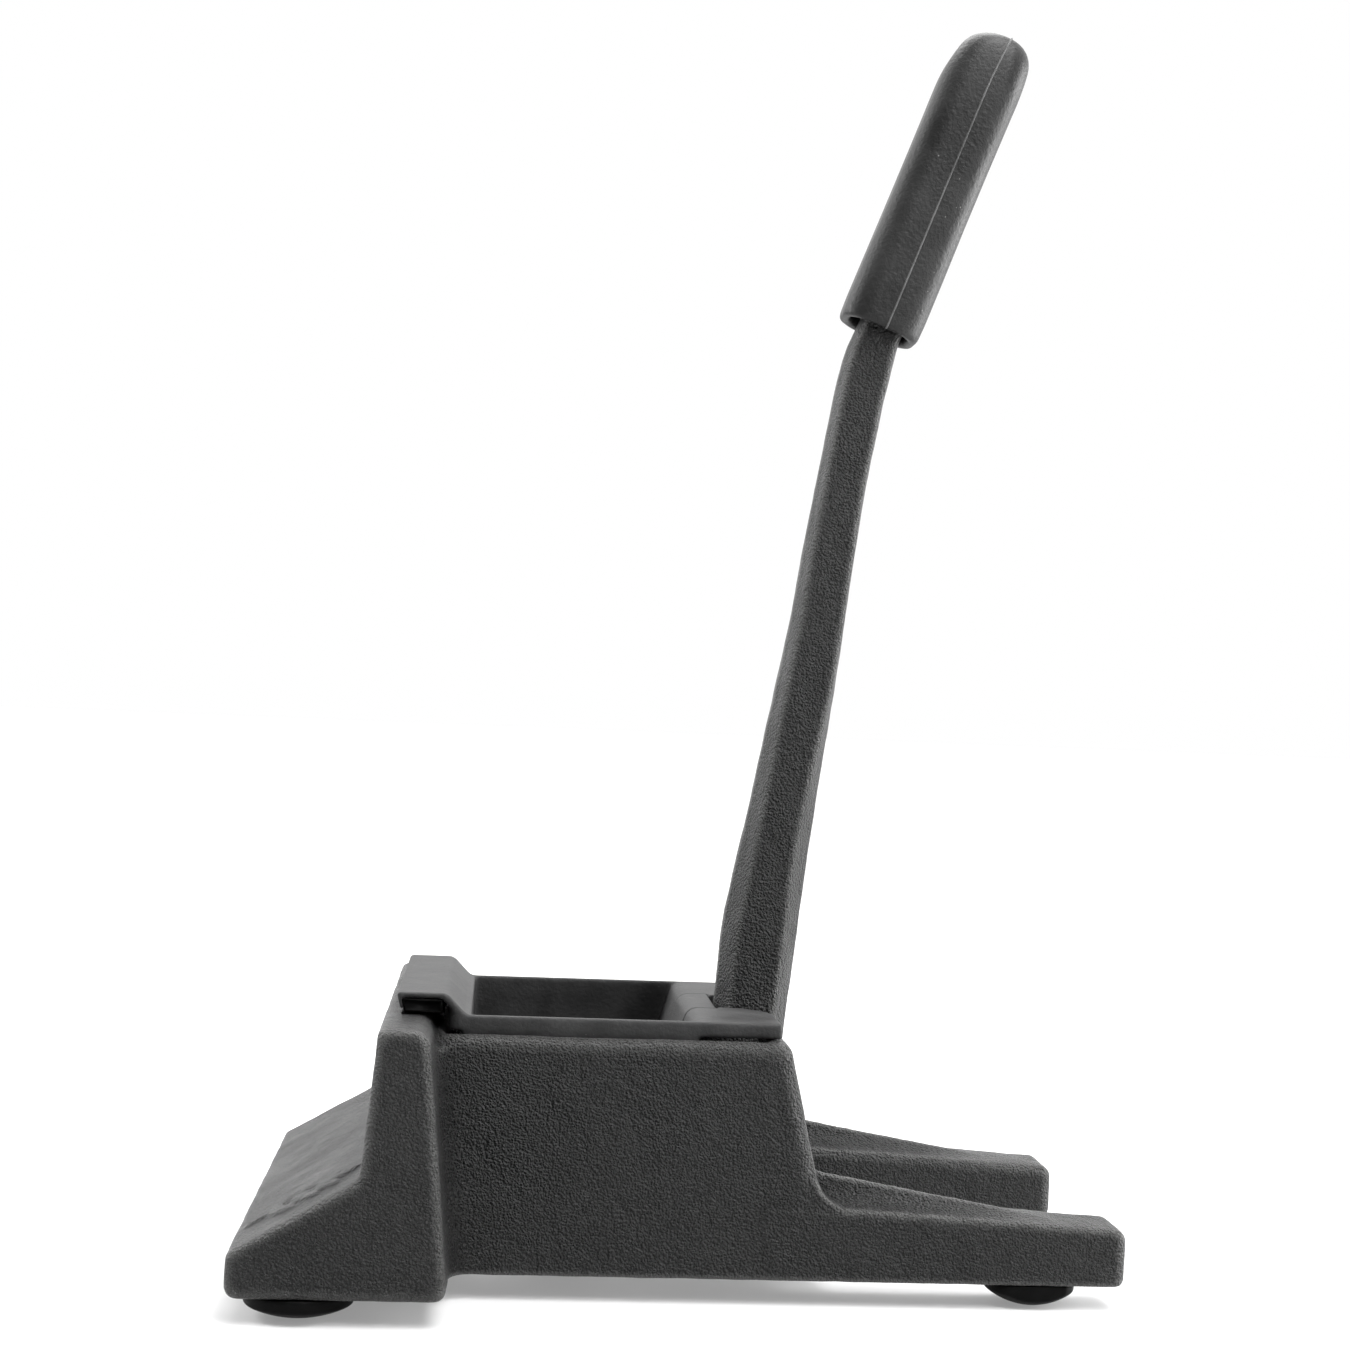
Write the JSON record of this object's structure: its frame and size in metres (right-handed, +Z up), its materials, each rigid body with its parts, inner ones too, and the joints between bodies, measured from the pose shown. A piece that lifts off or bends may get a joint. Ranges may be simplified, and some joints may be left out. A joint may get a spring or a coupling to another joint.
{
  "type": "nutcracker",
  "caption": "Cast-iron table nutcracker: an upright lever swings forward through a drop-in silicone tray and squeezes nuts against a fixed jaw.",
  "frame": {"origin": "on the table under the middle of the whole tool", "axes": "+X from the sloping front block to the ends of the legs, +Y to the tool's left, +Z up"},
  "size_m": [0.2342, 0.1606, 0.3553],
  "materials": {
    "cast_iron": "pebbled, oven-baked black",
    "silicone": "smooth satin",
    "foot_rubber": "smooth, slightly glossy",
    "steel": "zinc plated, satin",
    "bronze": "sintered, matt"
  },
  "bodies": {
    "base": {"base_casting": "cast_iron", "anvil": "cast_iron", "anvil_screws": "steel", "pivot_pin": "steel", "thrust_washer_left": "bronze", "thrust_washer_right": "bronze", "retaining_ring_left": "steel", "retaining_ring_right": "steel", "pin_strap_left": "steel", "pin_strap_right": "steel", "strap_screws": "steel", "foot_front_left": "foot_rubber", "foot_front_right": "foot_rubber", "foot_rear_left": "foot_rubber", "foot_rear_right": "foot_rubber", "foot_studs": "steel"},
    "lever": {"lever": "cast_iron", "hand_grip": "silicone", "bush_left": "bronze", "bush_right": "bronze"},
    "tray": {"nut_tray": "silicone", "tray_tongue": "silicone"}
  },
  "joints": [
    {"name": "lever_swing", "type": "hinge", "parent": "base", "child": "lever", "pos_m": [0.013, 0, 0.021], "axis": [0, -1, 0], "range_deg": [0, 40], "deforming": ["tray_tongue"]},
    {"name": "tray_lift", "type": "slide", "parent": "base", "child": "tray", "axis": [0, 0, 1], "range_m": [0, 0.03]}
  ]
}
